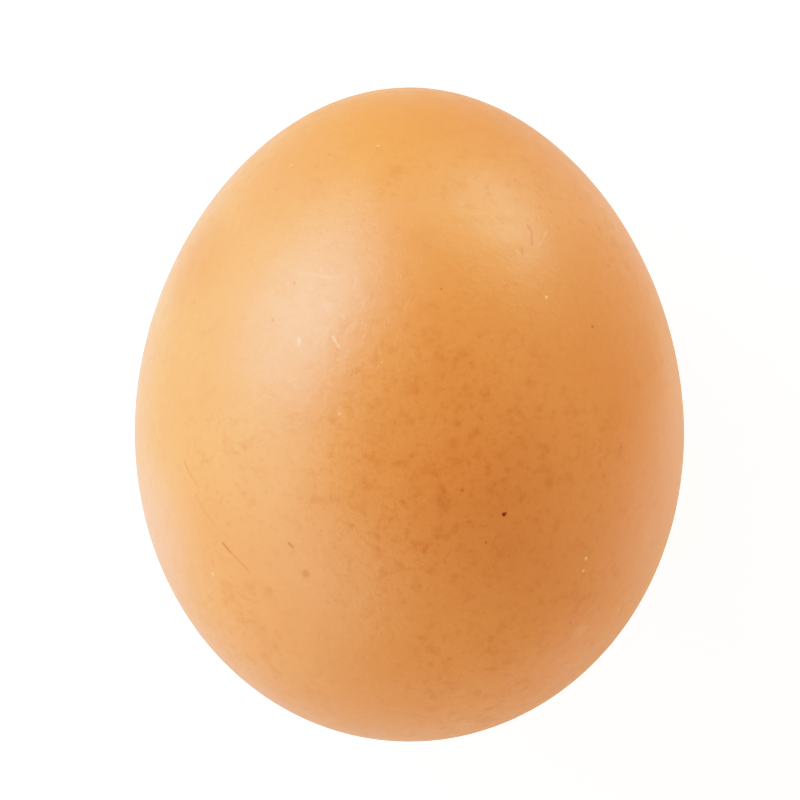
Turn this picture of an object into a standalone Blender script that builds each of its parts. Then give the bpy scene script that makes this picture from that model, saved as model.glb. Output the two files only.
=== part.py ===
"""A hen's egg lying on its side, as one closed solid.

The shell is a body of revolution. Its long axis lies along Y, narrow end towards +Y, and a small flat
underneath, at z = 0, keeps it from rolling. The origin is at the middle of the bottom of its box.
"""

from math import cos, pi, radians, sin

import bmesh
import bpy

LENGTH = 0.0536  # blunt end to narrow end
BREADTH = 0.0450  # widest across
TAPER = 0.060  # how much slimmer the narrow half is than the blunt half
POINTEDNESS = 0.017  # how much slimmer both ends are than an ellipse
FLAT_DEPTH = 0.00025  # how far the flat is set in from the roundest line

PROFILE_STEPS = 40  # facets from end to end
TURN_STEPS = 72  # facets round the long axis, a multiple of four so that the breadth is exact
WELD_DISTANCE = 0.00001
CUTTER_SIZE = 0.020  # wider than the flat it leaves

SHELL_COLOUR = (0.62, 0.30, 0.14, 1.0)
SHELL_ROUGHNESS = 0.42


def clear_scene():
    """Remove every object that the file opened with."""
    for old in list(bpy.data.objects):
        bpy.data.objects.remove(old, do_unlink=True)


def new_collection(name):
    """Make a collection in the scene and return it."""
    collection = bpy.data.collections.new(name)
    bpy.context.scene.collection.children.link(collection)
    return collection


def egg_profile():
    """Give (radius, height) points from the narrow end down to the blunt end."""
    turns = [pi * step / PROFILE_STEPS for step in range(PROFILE_STEPS + 1)]
    slimness = [1.0 - TAPER * cos(turn) - POINTEDNESS * cos(turn) ** 2 for turn in turns]
    outline = [sin(turn) * slim for turn, slim in zip(turns, slimness)]
    widest = max(outline)
    radii = [BREADTH / 2 * reach / widest for reach in outline]
    heights = [LENGTH / 2 * cos(turn) for turn in turns]
    return list(zip(radii, heights))


def profile_mesh(name, points):
    """Make a mesh of one open line through the points, in the XZ plane."""
    line = bmesh.new()
    corners = [line.verts.new((radius, 0.0, height)) for radius, height in points]
    for first, second in zip(corners, corners[1:]):
        line.edges.new((first, second))
    mesh = bpy.data.meshes.new(name)
    line.to_mesh(mesh)
    line.free()
    return mesh


def shell_material():
    """Make the plain brown satin finish of the shell."""
    material = bpy.data.materials.new("eggshell")
    material.use_nodes = True
    finish = material.node_tree.nodes["Principled BSDF"]
    finish.inputs["Base Color"].default_value = SHELL_COLOUR
    finish.inputs["Roughness"].default_value = SHELL_ROUGHNESS
    finish.inputs["Metallic"].default_value = 0.0
    return material


def make_flat_cutter(collection):
    """Make the block whose top face is the plane that the egg rests on."""
    bpy.ops.mesh.primitive_cube_add(size=CUTTER_SIZE, location=(0.0, 0.0, -CUTTER_SIZE / 2))
    cutter = bpy.context.object
    cutter.name = "flat_cutter"
    cutter.hide_render = True
    cutter.display_type = "WIRE"
    for holder in list(cutter.users_collection):
        holder.objects.unlink(cutter)
    collection.objects.link(cutter)
    return cutter


def make_egg(collection, cutter):
    """Turn the profile round its axis, lay it along Y and cut the flat."""
    egg = bpy.data.objects.new("egg", profile_mesh("egg", egg_profile()))
    collection.objects.link(egg)
    egg.data.materials.append(shell_material())
    egg.rotation_euler.x = radians(-90.0)
    egg.location.z = BREADTH / 2 - FLAT_DEPTH

    turn = egg.modifiers.new("turn", "SCREW")
    turn.axis = "Z"
    turn.angle = 2 * pi
    turn.steps = TURN_STEPS
    turn.render_steps = TURN_STEPS
    turn.use_merge_vertices = True
    turn.merge_threshold = WELD_DISTANCE
    turn.use_smooth_shade = True

    flat = egg.modifiers.new("flat", "BOOLEAN")
    flat.operation = "DIFFERENCE"
    flat.solver = "EXACT"
    flat.object = cutter
    return egg


clear_scene()
make_egg(new_collection("hen_egg"), make_flat_cutter(new_collection("cutters")))
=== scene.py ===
"""The looks of a brown hen's egg: its shell, the table under it, the camera above it and the lights."""
from math import cos, pi, radians, sin, sqrt, tan

import bpy
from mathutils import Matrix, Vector


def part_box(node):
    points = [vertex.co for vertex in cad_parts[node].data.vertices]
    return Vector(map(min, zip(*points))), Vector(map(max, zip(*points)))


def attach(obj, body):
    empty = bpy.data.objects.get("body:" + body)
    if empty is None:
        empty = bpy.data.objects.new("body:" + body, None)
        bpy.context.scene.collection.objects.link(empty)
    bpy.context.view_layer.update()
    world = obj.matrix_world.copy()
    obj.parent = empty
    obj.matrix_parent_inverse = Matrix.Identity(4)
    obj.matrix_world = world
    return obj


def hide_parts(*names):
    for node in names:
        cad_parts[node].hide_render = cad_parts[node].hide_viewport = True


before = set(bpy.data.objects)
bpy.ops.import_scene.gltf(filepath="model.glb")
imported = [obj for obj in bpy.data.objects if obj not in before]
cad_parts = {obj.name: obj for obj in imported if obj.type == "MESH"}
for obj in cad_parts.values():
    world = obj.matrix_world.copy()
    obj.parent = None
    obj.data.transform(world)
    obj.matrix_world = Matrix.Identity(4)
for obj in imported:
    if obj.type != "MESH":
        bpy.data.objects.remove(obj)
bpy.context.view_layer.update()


# ---- Table and camera ----------------------------------------------------------------------------------
# The table is a plain sheet of matt white board, laid flat, with the egg lying on it.
# The camera hangs above the egg on a long lens and looks straight down, with the narrow end at the top. It
# answers light as film does, with a long soft shoulder up to white.

TABLE_SIDE = 3.0
TABLE_COLOUR = (0.88, 0.88, 0.87, 1.0)
TABLE_SHADE = (0.85, 0.85, 0.84, 1.0)
FIBRES_PER_METRE = 400.0
FIBRE_DETAIL = 4.0
TABLE_ROUGHNESS = 0.8
CAMERA_GLOW = 1.0  # what the board and the room add to their own white, for the camera alone

VIEW_WIDTH = 0.06548  # what the camera takes in, at the height of the egg's axis
CAMERA_HEIGHT = 0.50  # above the egg's axis
CAMERA_RIGHT = -0.00076
CAMERA_UP = 0.00118
SENSOR_WIDTH = 36.0
NEAREST, FURTHEST = 0.01, 10.0  # what the camera can see

WHITE_LIGHT = 2.0  # the light that comes out as pure white
FILM_TOE = 1.3
FILM_SHOULDER = 4.5
FILM_STEPS = (0.05, 0.1, 0.2, 0.35, 0.5, 0.7)  # shares of the white light that the curve is drawn through
ALL_COLOURS = 3  # the curve that red, green and blue share

shell_low, shell_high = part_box("egg")
breadth = shell_high.x - shell_low.x
length = shell_high.y - shell_low.y
axis_height = shell_high.z - breadth / 2

bpy.ops.object.select_all(action="DESELECT")
bpy.ops.mesh.primitive_plane_add(size=TABLE_SIDE, location=(0.0, 0.0, shell_low.z))
table = bpy.context.object
table.name = "table"
bpy.ops.object.transform_apply(location=True, rotation=True, scale=True)


def add_node(tree, kind, operation=None, settings=None, **values):
    """A node with its operation, its settings and its inputs' values, by their names with _ for a space."""
    node = tree.nodes.new(kind)
    if operation:
        node.operation = operation
    for name, value in (settings or {}).items():
        setattr(node, name, value)
    for name, value in values.items():
        node.inputs[name.replace("_", " ")].default_value = value
    return node


def glow_for_camera(tree, strength):
    """Lights up this strength socket for the camera alone, so that the egg isn't lit by it."""
    seen_by = add_node(tree, "ShaderNodeLightPath")
    glow = add_node(tree, "ShaderNodeMath", "MULTIPLY")
    glow.inputs[1].default_value = CAMERA_GLOW
    tree.links.new(seen_by.outputs["Is Camera Ray"], glow.inputs[0])
    tree.links.new(glow.outputs["Value"], strength)


UNDER, OVER, MIXED = 6, 7, 2  # the colour sockets of a Mix node

board = bpy.data.materials.new("white_board")
board.use_nodes = True
board_tree = board.node_tree
board_surface = board_tree.nodes["Principled BSDF"]
board_surface.inputs["Roughness"].default_value = TABLE_ROUGHNESS
board_surface.inputs["Emission Color"].default_value = TABLE_COLOUR
anywhere = add_node(board_tree, "ShaderNodeTexCoord")
fibres = add_node(board_tree, "ShaderNodeTexNoise", Scale=FIBRES_PER_METRE, Detail=FIBRE_DETAIL)
paper = add_node(board_tree, "ShaderNodeMix", settings={"data_type": "RGBA"})
paper.inputs[UNDER].default_value = TABLE_COLOUR
paper.inputs[OVER].default_value = TABLE_SHADE
board_tree.links.new(anywhere.outputs["Object"], fibres.inputs["Vector"])
board_tree.links.new(fibres.outputs["Fac"], paper.inputs["Factor"])
board_tree.links.new(paper.outputs[MIXED], board_surface.inputs["Base Color"])
glow_for_camera(board_tree, board_surface.inputs["Emission Strength"])
table.data.materials.append(board)

bpy.ops.object.camera_add(
    location=(CAMERA_RIGHT, CAMERA_UP, axis_height + CAMERA_HEIGHT),
    rotation=(0.0, 0.0, 0.0),
)
camera = bpy.context.object
camera.name = "camera_above"
camera.data.sensor_width = SENSOR_WIDTH
camera.data.lens = SENSOR_WIDTH * CAMERA_HEIGHT / VIEW_WIDTH
camera.data.clip_start = NEAREST
camera.data.clip_end = FURTHEST
bpy.context.scene.camera = camera

view = bpy.context.scene.view_settings
view.view_transform = "Standard"
view.use_curve_mapping = True
film = view.curve_mapping
film.white_level = (WHITE_LIGHT, WHITE_LIGHT, WHITE_LIGHT)
for step in FILM_STEPS:
    film.curves[ALL_COLOURS].points.new(step, 1 - (1 - step ** FILM_TOE) ** FILM_SHOULDER)
film.update()


# ---- Eggshell ------------------------------------------------------------------------------------------
# The shell of a brown hen's egg: chalky calcium carbonate, grown layer on layer round the egg, with the
# brown laid on last. It is one closed skin, satin smooth, and lies on a small flat on its side.

TAPER = 0.060
POINTEDNESS = 0.017
OUTLINE_STEPS = 400  # where the outline is measured for its widest place
SKIN_INSET = 0.00003  # keeps the unevenness of the skin inside the shell's box
FLAT_INSET = SKIN_INSET / 10  # how high above the table the flat is pressed
SUBDIVISIONS = 7
SWELL_SIZE, SWELL_HEIGHT = 0.012, 0.00006
DIMPLE_SIZE, DIMPLE_HEIGHT = 0.0012, 0.000014

bpy.ops.object.select_all(action="DESELECT")
bpy.ops.mesh.primitive_cube_add(size=2.0, location=(0.0, 0.0, 0.0))
shell = bpy.context.object
shell.name = "eggshell"

bpy.ops.object.modifier_add(type="SUBSURF")
rounding = shell.modifiers[-1]
rounding.levels = SUBDIVISIONS
rounding.render_levels = SUBDIVISIONS
bpy.ops.object.modifier_apply(modifier=rounding.name)
bpy.ops.object.modifier_add(type="CAST")
ball = shell.modifiers[-1]
ball.factor = 1.0
ball.use_radius_as_size = False
ball.size = 1.0
bpy.ops.object.modifier_apply(modifier=ball.name)


def slimness(along):
    """How wide the shell is beside an ellipse, from -1 along at the blunt end to 1 at the narrow end."""
    return 1.0 - TAPER * along - POINTEDNESS * along ** 2


turns = [pi * step / OUTLINE_STEPS for step in range(OUTLINE_STEPS + 1)]
widest = max(sin(turn) * slimness(cos(turn)) for turn in turns)
half_breadth = breadth / 2 - SKIN_INSET
half_length = length / 2 - SKIN_INSET
for point in shell.data.vertices:
    slim = slimness(point.co.y) / widest
    point.co = (
        point.co.x * half_breadth * slim,
        point.co.y * half_length,
        point.co.z * half_breadth * slim + axis_height,
    )

# A shell isn't turned on a lathe: it swells and sinks a little, and is dimpled like orange peel.
for name, size, height in (("swell", SWELL_SIZE, SWELL_HEIGHT), ("dimples", DIMPLE_SIZE, DIMPLE_HEIGHT)):
    waves = bpy.data.textures.new(name, "CLOUDS")
    waves.noise_scale = size
    bpy.ops.object.modifier_add(type="DISPLACE")
    unevenness = shell.modifiers[-1]
    unevenness.texture = waves
    unevenness.texture_coords = "LOCAL"
    unevenness.strength = height
    bpy.ops.object.modifier_apply(modifier=unevenness.name)

# The underside is pressed level where the egg rests.
flat_height = shell_low.z + FLAT_INSET
for point in shell.data.vertices:
    point.select = point.co.z < flat_height
for side in shell.data.polygons:
    side.select = False
for edge in shell.data.edges:
    edge.select = False
bpy.ops.object.mode_set(mode="EDIT")
bpy.ops.mesh.select_mode(type="VERT")
bpy.ops.transform.resize(value=(1.0, 1.0, 0.0), center_override=(0.0, 0.0, flat_height))
bpy.ops.object.mode_set(mode="OBJECT")
bpy.ops.object.shade_smooth()


MILLIMETRES = 1000.0  # to the metre


def on_top(across, along):
    """A place on top of the shell in millimetres, so far right of its middle and so far to its tip."""
    part = along / MILLIMETRES / half_length
    radius = MILLIMETRES * half_breadth * slimness(part) / widest * sqrt(1 - part ** 2)
    return across, along, sqrt(radius ** 2 - across ** 2)


def new_group(name, takes, gives):
    """An empty shader group with named sockets of the given kinds, and its input and output nodes."""
    group = bpy.data.node_groups.new(name, "ShaderNodeTree")
    for way, sockets in (("INPUT", takes), ("OUTPUT", gives)):
        for socket, kind in sockets.items():
            group.interface.new_socket(name=socket, in_out=way, socket_type="NodeSocket" + kind)
    return group, group.nodes.new("NodeGroupInput"), group.nodes.new("NodeGroupOutput")


SOFTLY = {"interpolation_type": "SMOOTHSTEP"}

# A spot is full out to its Core and fades away at its Edge. It is laid over the marks that are there.
spot, given, made = new_group(
    "spot",
    {
        "Position": "Vector",
        "Centre": "Vector",
        "Core": "Float",
        "Edge": "Float",
        "Strength": "Float",
        "Marks": "Float",
    },
    {"Marks": "Float"},
)
away = add_node(spot, "ShaderNodeVectorMath", "DISTANCE")
fade = add_node(spot, "ShaderNodeMapRange", settings=SOFTLY, To_Max=0.0)
over = add_node(spot, "ShaderNodeMath", "MAXIMUM")
spot.links.new(given.outputs["Position"], away.inputs[0])
spot.links.new(given.outputs["Centre"], away.inputs[1])
spot.links.new(away.outputs["Value"], fade.inputs["Value"])
spot.links.new(given.outputs["Core"], fade.inputs["From Min"])
spot.links.new(given.outputs["Edge"], fade.inputs["From Max"])
spot.links.new(given.outputs["Strength"], fade.inputs["To Min"])
spot.links.new(fade.outputs["Result"], over.inputs[0])
spot.links.new(given.outputs["Marks"], over.inputs[1])
spot.links.new(over.outputs["Value"], made.inputs["Marks"])

# A scratch runs straight from Start to End and fades away over its Width on each side.
scratch, given, made = new_group(
    "scratch",
    {
        "Position": "Vector",
        "Start": "Vector",
        "End": "Vector",
        "Width": "Float",
        "Strength": "Float",
        "Marks": "Float",
    },
    {"Marks": "Float"},
)
run = add_node(scratch, "ShaderNodeVectorMath", "SUBTRACT")
reach = add_node(scratch, "ShaderNodeVectorMath", "SUBTRACT")
covered = add_node(scratch, "ShaderNodeVectorMath", "DOT_PRODUCT")
whole = add_node(scratch, "ShaderNodeVectorMath", "DOT_PRODUCT")
share = add_node(scratch, "ShaderNodeMath", "DIVIDE", {"use_clamp": True})
nearest = add_node(scratch, "ShaderNodeVectorMath", "SCALE")
away = add_node(scratch, "ShaderNodeVectorMath", "DISTANCE")
fade = add_node(scratch, "ShaderNodeMapRange", settings=SOFTLY, To_Max=0.0)
over = add_node(scratch, "ShaderNodeMath", "MAXIMUM")
scratch.links.new(given.outputs["End"], run.inputs[0])
scratch.links.new(given.outputs["Start"], run.inputs[1])
scratch.links.new(given.outputs["Position"], reach.inputs[0])
scratch.links.new(given.outputs["Start"], reach.inputs[1])
scratch.links.new(reach.outputs["Vector"], covered.inputs[0])
scratch.links.new(run.outputs["Vector"], covered.inputs[1])
scratch.links.new(run.outputs["Vector"], whole.inputs[0])
scratch.links.new(run.outputs["Vector"], whole.inputs[1])
scratch.links.new(covered.outputs["Value"], share.inputs[0])
scratch.links.new(whole.outputs["Value"], share.inputs[1])
scratch.links.new(run.outputs["Vector"], nearest.inputs["Vector"])
scratch.links.new(share.outputs["Value"], nearest.inputs["Scale"])
scratch.links.new(reach.outputs["Vector"], away.inputs[0])
scratch.links.new(nearest.outputs["Vector"], away.inputs[1])
scratch.links.new(away.outputs["Value"], fade.inputs["Value"])
scratch.links.new(given.outputs["Width"], fade.inputs["From Max"])
scratch.links.new(given.outputs["Strength"], fade.inputs["To Min"])
scratch.links.new(fade.outputs["Result"], over.inputs[0])
scratch.links.new(given.outputs["Marks"], over.inputs[1])
scratch.links.new(over.outputs["Value"], made.inputs["Marks"])

# Dots are strewn through the shell in cells of one size, with a dot in this Share of the cells. Each is full
# out to its Core and fades away at its Edge.
strewn, given, made = new_group(
    "strewn_dots",
    {"Position": "Vector", "Cells per mm": "Float", "Core": "Float", "Edge": "Float", "Share": "Float"},
    {"Dots": "Float"},
)
cells = add_node(strewn, "ShaderNodeTexVoronoi")
away = add_node(strewn, "ShaderNodeMath", "DIVIDE")
chance = add_node(strewn, "ShaderNodeSeparateColor")
there = add_node(strewn, "ShaderNodeMath", "LESS_THAN")
fade = add_node(strewn, "ShaderNodeMapRange", settings=SOFTLY, To_Min=1.0, To_Max=0.0)
dots = add_node(strewn, "ShaderNodeMath", "MULTIPLY")
strewn.links.new(given.outputs["Position"], cells.inputs["Vector"])
strewn.links.new(given.outputs["Cells per mm"], cells.inputs["Scale"])
strewn.links.new(cells.outputs["Distance"], away.inputs[0])
strewn.links.new(given.outputs["Cells per mm"], away.inputs[1])
strewn.links.new(away.outputs["Value"], fade.inputs["Value"])
strewn.links.new(given.outputs["Core"], fade.inputs["From Min"])
strewn.links.new(given.outputs["Edge"], fade.inputs["From Max"])
strewn.links.new(cells.outputs["Color"], chance.inputs["Color"])
strewn.links.new(chance.outputs["Red"], there.inputs[0])
strewn.links.new(given.outputs["Share"], there.inputs[1])
strewn.links.new(fade.outputs["Result"], dots.inputs[0])
strewn.links.new(there.outputs["Value"], dots.inputs[1])
strewn.links.new(dots.outputs["Value"], made.inputs["Dots"])

# The shell's own material. All its measures are in millimetres from the middle of the egg.
glaze = bpy.data.materials.new("brown_eggshell")
glaze.use_nodes = True
skin_tree = glaze.node_tree
skin = skin_tree.nodes["Principled BSDF"]
anywhere = add_node(skin_tree, "ShaderNodeTexCoord")
from_middle = add_node(
    skin_tree,
    "ShaderNodeMapping",
    Location=(0.0, 0.0, -MILLIMETRES * axis_height),
    Scale=(MILLIMETRES, MILLIMETRES, MILLIMETRES),
)
skin_tree.links.new(anywhere.outputs["Object"], from_middle.inputs["Vector"])
place = from_middle.outputs["Vector"]


def spread(value, low, high, to_low, to_high, manner=SOFTLY):
    """A measure carried over from one range to another, softly unless it is told otherwise."""
    carried = add_node(
        skin_tree,
        "ShaderNodeMapRange",
        settings=manner,
        From_Min=low,
        From_Max=high,
        To_Min=to_low,
        To_Max=to_high,
    )
    skin_tree.links.new(value, carried.inputs["Value"])
    return carried.outputs["Result"]


NOISE_ROUGHNESS = 0.55


def noise(per_mm, detail, low, high, to_low, to_high):
    """Cloudy noise at this many waves to the millimetre, spread softly from one range to another."""
    cloud = add_node(
        skin_tree,
        "ShaderNodeTexNoise",
        Scale=per_mm,
        Detail=detail,
        Roughness=NOISE_ROUGHNESS,
    )
    skin_tree.links.new(place, cloud.inputs["Vector"])
    return spread(cloud.outputs["Fac"], low, high, to_low, to_high)


def join(operation, first, second):
    """Two masks, or a mask and a number, put together by one sum."""
    both = add_node(skin_tree, "ShaderNodeMath", operation)
    for socket, value in zip(both.inputs, (first, second)):
        if isinstance(value, float):
            socket.default_value = value
        else:
            skin_tree.links.new(value, socket)
    return both.outputs["Value"]


def tint(below, colour, mask):
    """The colour below, with another laid over it where the mask is."""
    coat = add_node(skin_tree, "ShaderNodeMix", settings={"data_type": "RGBA"})
    skin_tree.links.new(mask, coat.inputs["Factor"])
    skin_tree.links.new(below, coat.inputs[UNDER])
    coat.inputs[OVER].default_value = colour
    return coat.outputs[MIXED]


def lay(group, marks=None, **values):
    """This group with its own values, over the marks that are there already."""
    mark = add_node(skin_tree, "ShaderNodeGroup", settings={"node_tree": group}, **values)
    skin_tree.links.new(place, mark.inputs["Position"])
    if marks:
        skin_tree.links.new(marks, mark.inputs["Marks"])
    return mark.outputs[0]


def lay_spots(marks, spots):
    """The marks with a spot laid over them for each row: right, towards the tip, core, edge, strength."""
    for across, along, core, edge, strength in spots:
        marks = lay(spot, marks, Centre=on_top(across, along), Core=core, Edge=edge, Strength=strength)
    return marks


def lay_scratches(marks, scratches):
    """The marks with a scratch laid over them for each row: start and end, width, strength."""
    for start, end, width, strength in scratches:
        ends = {"Start": on_top(*start), "End": on_top(*end)}
        marks = lay(scratch, marks, Width=width, Strength=strength, **ends)
    return marks


def strew(cells_per_mm, core, edge, share):
    """Dots strewn all over the shell."""
    return lay(strewn, Cells_per_mm=cells_per_mm, Core=core, Edge=edge, Share=share)


BROWN = (0.70, 0.253, 0.066, 1.0)
PALE_BROWN = (0.73, 0.280, 0.078, 1.0)
TIP_SHADE_BROWN = (0.61, 0.185, 0.010, 1.0)
DEEP_BROWN = (0.53, 0.150, 0.010, 1.0)
DARK_BROWN = (0.40, 0.105, 0.002, 1.0)
FLECK_BROWN = (0.20, 0.004, 0.0, 1.0)
CREAM = (0.82, 0.50, 0.30, 1.0)
RIM_SHEEN_PINK = (0.90, 0.42, 0.27, 1.0)
RIM_REFLECTION_PINK = (0.80, 0.35, 0.22, 1.0)

# The brown lies a little thicker here and thinner there, and is clouded and freckled all over, most of all
# round the middle of one side. A noise has its waves to the millimetre, its detail, the range it is taken
# from and the range it is spread over. Strewn dots have their cells to the millimetre, core, edge and share.
DRIFT = (0.07, 2.0, 0.40, 0.70, 0.0, 0.8)
THICK_SIDE = ((3.0, -5.0, 4.0, 22.0, 1.0),)
THICK_DRIFT = (0.06, 1.0, 0.42, 0.62, 0.30, 0.80)
BROAD_CLOUDS = (0.35, 2.0, 0.45, 0.75, 0.0, 0.20)
CLOUDS = (1.0, 2.0, 0.50, 0.74, 0.0, 0.42)
SMALL_CLOUDS = (2.2, 2.0, 0.52, 0.75, 0.0, 0.33)
FRECKLES = (1.1, 0.02, 0.17, 0.55)
BROAD_FRECKLES = (0.6, 0.05, 0.35, 0.4)
BROAD_FRECKLE_SHARE = 0.6
FRECKLE_STRENGTH = 0.35
PALE_GRAIN = (4.0, 2.0, 0.50, 0.80, 0.0, 0.7)
ground = add_node(skin_tree, "ShaderNodeRGB")
ground.outputs["Color"].default_value = BROWN
brown = tint(ground.outputs["Color"], PALE_BROWN, noise(*DRIFT))
thickest = lay_spots(None, THICK_SIDE)
where = join("MAXIMUM", thickest, noise(*THICK_DRIFT))
clouds = join("ADD", noise(*BROAD_CLOUDS), noise(*CLOUDS))
clouds = join("ADD", clouds, noise(*SMALL_CLOUDS))
brown = tint(brown, DEEP_BROWN, join("MULTIPLY", clouds, where))
freckles = join("MAXIMUM", strew(*FRECKLES), join("MULTIPLY", strew(*BROAD_FRECKLES), BROAD_FRECKLE_SHARE))
brown = tint(brown, DARK_BROWN, join("MULTIPLY", join("MULTIPLY", freckles, FRECKLE_STRENGTH), where))
brown = tint(brown, PALE_BROWN, noise(*PALE_GRAIN))

# Painted shade: the brown is darkened on the cap at the narrow end, where less light falls.
TIP_SHADE_START, TIP_SHADE_END, TIP_SHADE_STRENGTH = 16.0, 25.5, 0.9  # towards the tip
measured = add_node(skin_tree, "ShaderNodeSeparateXYZ")
skin_tree.links.new(place, measured.inputs["Vector"])
brown = tint(brown, TIP_SHADE_BROWN, spread(measured.outputs["Y"], TIP_SHADE_START, TIP_SHADE_END, 0.0, TIP_SHADE_STRENGTH))

# Painted reflection: the flanks, towards the blunt end, are made paler and pinker where the bright board
# shows in the shell's edges.
# Painted shade: three patches are made deeper brown where less light falls.
PAINTED_RIM_REFLECTIONS = (
    (20.5, -8.0, 2.0, 13.0, 0.63),
    (21.6, -4.0, 2.0, 11.0, 0.72),
    (14.5, -18.5, 1.0, 9.0, 0.38),
    (-20.3, -9.0, 1.0, 9.0, 0.36),
)
# Painted shade: these patches deepen the brown where the shell gets the least light.
PAINTED_SHADE_PATCHES = (
    (9.5, -8.0, 2.0, 10.0, 0.20),
    (-11.5, 18.5, 1.0, 9.0, 0.30),
    (-17.0, 13.0, 1.0, 8.0, 0.42),
)
brown = tint(brown, RIM_REFLECTION_PINK, lay_spots(None, PAINTED_RIM_REFLECTIONS))
brown = tint(brown, DEEP_BROWN, lay_spots(None, PAINTED_SHADE_PATCHES))

# Blotches and specks of thick colour, and scratches where dirt has settled.
BLOTCHES = (
    (-8.2, -12.5, 0.10, 0.55, 0.45),
    (2.6, -6.6, 0.20, 1.30, 0.20),
    (2.2, -9.1, 0.10, 0.80, 0.18),
    (11.0, -5.3, 0.10, 0.70, 0.20),
    (10.8, -2.7, 0.10, 0.60, 0.20),
    (8.7, -3.8, 0.10, 0.50, 0.18),
    (3.5, -2.2, 0.10, 0.70, 0.18),
    (0.1, -0.5, 0.10, 0.60, 0.18),
    (-2.4, 1.0, 0.10, 0.60, 0.18),
    (-6.0, -0.5, 0.10, 0.50, 0.18),
    (13.1, 0.2, 0.10, 0.60, 0.18),
    (-11.1, -13.9, 0.10, 0.55, 0.20),
    (6.0, -10.0, 0.05, 0.20, 0.60),
    (4.1, -5.9, 0.05, 0.22, 0.55),
    (2.5, 9.9, 0.04, 0.16, 0.60),
    (16.8, -2.6, 0.04, 0.16, 0.50),
    (12.8, -16.6, 0.04, 0.16, 0.50),
    (15.9, 11.9, 0.05, 0.20, 0.50),
    (-6.4, 20.8, 0.05, 0.20, 0.50),
    (-10.6, 18.0, 0.05, 0.20, 0.50),
    (-9.1, 10.4, 0.05, 0.20, 0.60),
    (-10.8, 7.5, 0.05, 0.20, 0.55),
    (-17.2, 9.0, 0.05, 0.20, 0.50),
)
DARK_SCRATCHES = (
    ((-14.8, -10.2), (-14.2, -10.9), 0.24, 0.70),
    ((-14.8, -10.2), (-12.9, -12.2), 0.20, 0.40),
    ((-17.9, -3.8), (-17.5, -4.6), 0.22, 0.35),
    ((-17.5, -4.6), (-16.8, -5.7), 0.18, 0.25),
    ((-17.0, -6.4), (-15.6, -8.6), 0.18, 0.20),
    ((-9.5, -10.1), (-9.2, -10.4), 0.22, 0.65),
    ((9.4, 15.0), (9.7, 14.5), 0.20, 0.55),
    ((9.7, 14.5), (9.7, 13.5), 0.20, 0.55),
    ((8.9, 13.2), (8.9, 12.4), 0.20, 0.35),
)
brown = tint(brown, DARK_BROWN, lay_scratches(lay_spots(None, BLOTCHES), DARK_SCRATCHES))

# Dark flecks that dried on in the laying.
FLECKS = (
    (7.4, -7.8, 0.11, 0.23, 1.00),
    (7.55, -7.7, 0.02, 0.14, 0.90),
    (14.5, 7.0, 0.06, 0.20, 0.50),
)
brown = tint(brown, FLECK_BROWN, lay_spots(None, FLECKS))

# Rubs and chips that show the paler chalk under the brown, and pale scratches, some of which are painted
# highlight.
CHIPS = (
    (-2.5, 21.5, 0.05, 0.20, 0.40),
    (10.8, 9.3, 0.04, 0.20, 0.80),
    (14.0, -11.4, 0.05, 0.24, 0.90),
    (13.8, -12.4, 0.05, 0.20, 0.80),
    (16.8, -15.7, 0.05, 0.20, 0.80),
    (19.2, -9.9, 0.05, 0.20, 0.40),
    (-15.7, -12.7, 0.05, 0.22, 0.40),
    (-5.5, 0.1, 0.04, 0.20, 0.35),
    (-9.5, 20.0, 0.05, 0.22, 0.25),
    (13.7, -17.2, 0.20, 1.20, 0.15),
)
PALE_SCRATCHES_AND_GLINTS = (
    ((-8.7, 6.0), (-8.7, 5.6), 0.25, 0.32),
    ((-6.0, 6.1), (-5.6, 5.4), 0.20, 0.36),
    ((-8.8, 11.2), (-7.6, 11.1), 0.24, 0.07),
    ((-7.6, 11.1), (-6.4, 10.8), 0.26, 0.12),
    ((-6.4, 10.8), (-5.2, 10.9), 0.30, 0.09),
    # The last three strokes are painted highlight: the glint on the raised sides of the dark scratches near
    # the tip.
    ((10.9, 14.6), (10.6, 14.0), 0.16, 0.30),
    ((10.5, 13.8), (10.2, 13.4), 0.16, 0.25),
    ((8.5, 13.0), (8.9, 12.5), 0.20, 0.20),
)
brown = tint(brown, CREAM, lay_scratches(lay_spots(None, CHIPS), PALE_SCRATCHES_AND_GLINTS))

# Painted sheen: a pale pink is laid in drifts on the flanks, where the shell turns down towards the bright
# board, and stands for the board's reflection in the shell. It is stronger on the right flank, and there is
# none on top, underneath or at either end.
RIM_SHEEN_STRENGTH = 0.55
RIM_SHEEN_WHOLE, RIM_SHEEN_GONE = 1.8, 11.2  # above and below the egg's middle
RIM_SHEEN_INNER, RIM_SHEEN_OUTER = 7.0, 20.0  # across the egg, from where the painted sheen is gone to where it is whole
RIM_SHEEN_ON_LEFT = 0.45  # the share of it on the left flank
RIM_SHEEN_DRIFT = (0.10, 3.0, 0.35, 0.65, 0.6, 1.0)
EVENLY = {"interpolation_type": "LINEAR"}
off_level = add_node(skin_tree, "ShaderNodeMath", "ABSOLUTE")
skin_tree.links.new(measured.outputs["Z"], off_level.inputs[0])
sheen_belt = spread(off_level.outputs["Value"], RIM_SHEEN_WHOLE, RIM_SHEEN_GONE, RIM_SHEEN_STRENGTH, 0.0)
off_middle = add_node(skin_tree, "ShaderNodeMath", "ABSOLUTE")
skin_tree.links.new(measured.outputs["X"], off_middle.inputs[0])
sheen_flanks = spread(off_middle.outputs["Value"], RIM_SHEEN_INNER, RIM_SHEEN_OUTER, 0.0, 1.0, EVENLY)
sheen_side_share = spread(measured.outputs["X"], -RIM_SHEEN_INNER, RIM_SHEEN_INNER, RIM_SHEEN_ON_LEFT, 1.0, EVENLY)
painted_sheen = join("MULTIPLY", join("MULTIPLY", sheen_belt, sheen_flanks), sheen_side_share)
brown = tint(brown, RIM_SHEEN_PINK, join("MULTIPLY", painted_sheen, noise(*RIM_SHEEN_DRIFT)))
skin_tree.links.new(brown, skin.inputs["Base Color"])

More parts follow.
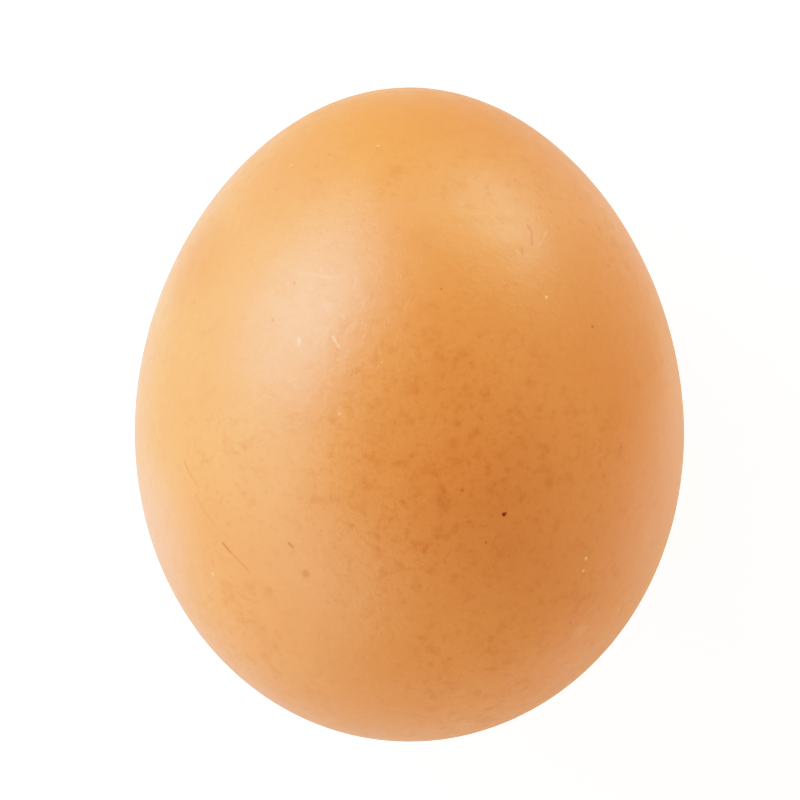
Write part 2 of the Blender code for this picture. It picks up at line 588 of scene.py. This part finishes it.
# The skin is satin, pitted with fine pores and grainy like fine leather.
GLOSS = 0.65
ROUGHNESS = (0.8, 3.0, 0.35, 0.65, 0.37, 0.43)
GRAIN = (1.5, 3.0, 0.25, 0.75, 0.0, 1.0)
GRAIN_HEIGHT = 0.000013
PORES = (2.2, 0.03, 0.13, 0.6)
PORE_DEPTH = 0.000008
skin.inputs["Specular IOR Level"].default_value = GLOSS
skin_tree.links.new(noise(*ROUGHNESS), skin.inputs["Roughness"])
grain = add_node(skin_tree, "ShaderNodeBump", Distance=GRAIN_HEIGHT)
skin_tree.links.new(noise(*GRAIN), grain.inputs["Height"])
pores = add_node(skin_tree, "ShaderNodeBump", settings={"invert": True}, Distance=PORE_DEPTH)
skin_tree.links.new(strew(*PORES), pores.inputs["Height"])
skin_tree.links.new(grain.outputs["Normal"], pores.inputs["Normal"])
skin_tree.links.new(pores.outputs["Normal"], skin.inputs["Normal"])
shell.data.materials.append(glaze)

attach(shell, "root")
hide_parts("egg")


# ---- Lights --------------------------------------------------------------------------------------------
# The egg lies in the middle of a light tent, with soft boxes side by side in arcs half a metre away.
# Daylight comes through the left wall and a window high on the left, and warm lamps shine through the right
# wall. A few small lamps brighten the window, the far right and the tip. Nothing hangs overhead.

TENT_RADIUS = 0.50  # from the middle of the egg
DAYLIGHT = (0.90, 1.0, 1.20)
PALE_DAYLIGHT = (0.96, 1.0, 1.08)
PLAIN_LIGHT = (1.0, 1.0, 1.0)
LAMPLIGHT = (1.20, 1.0, 0.60)
ROOM_COLOUR = (0.88, 0.88, 0.87, 1.0)

# name, middle of the first and of the last box round from +X, width of a box, lower and upper edge above the
# table, all in degrees, then brightness and colour
ARCS = (
    ("left_wall", 150, 240, 30, 1, 51, 1.60, PALE_DAYLIGHT),
    ("left_window", 120, 150, 30, 10, 51, 3.15, DAYLIGHT),
    ("left_lamp", 131, 131, 16, 28, 44, 3.60, PLAIN_LIGHT),
    ("right_wall", 270, 390, 30, 1, 30, 0.82, LAMPLIGHT),
    ("right_wall_top", 270, 390, 30, 29, 51, 0.58, LAMPLIGHT),
    ("right_lamp", 340, 340, 29, 1, 19, 1.10, LAMPLIGHT),
    ("far_lamp", 60, 60, 30, 1, 30, 2.20, LAMPLIGHT),
    ("far_spot", 50, 50, 23, 3, 17, 3.10, PLAIN_LIGHT),
    ("far_strip", 58, 58, 18, 2, 11, 3.40, PALE_DAYLIGHT),
    ("tip_lamp", 80, 80, 23, 3, 25, 1.30, PALE_DAYLIGHT),
)

middle = Vector((0.0, 0.0, axis_height))
for name, first, last, step, bottom, top, brightness, colour in ARCS:
    width = 2 * TENT_RADIUS * tan(radians(step / 2))
    height = 2 * TENT_RADIUS * tan(radians((top - bottom) / 2))
    rise = radians((top + bottom) / 2)
    for bearing in range(first, last + 1, step):
        turn = radians(bearing)
        towards = Vector((cos(turn) * cos(rise), sin(turn) * cos(rise), sin(rise)))
        facing = (-towards).to_track_quat("-Z", "Y").to_euler()
        bpy.ops.object.light_add(type="AREA", location=middle + towards * TENT_RADIUS, rotation=facing)
        box = bpy.context.object
        box.name = f"{name}_{bearing}"
        box.data.shape = "RECTANGLE"
        box.data.size = width
        box.data.size_y = height
        box.data.color = colour
        box.data.energy = pi * width * height * brightness
        box.visible_camera = False

room = bpy.data.worlds.new("pale_room")
bpy.context.scene.world = room
room.use_nodes = True
room_light = room.node_tree.nodes["Background"]
room_light.inputs["Color"].default_value = ROOM_COLOUR
glow_for_camera(room.node_tree, room_light.inputs["Strength"])
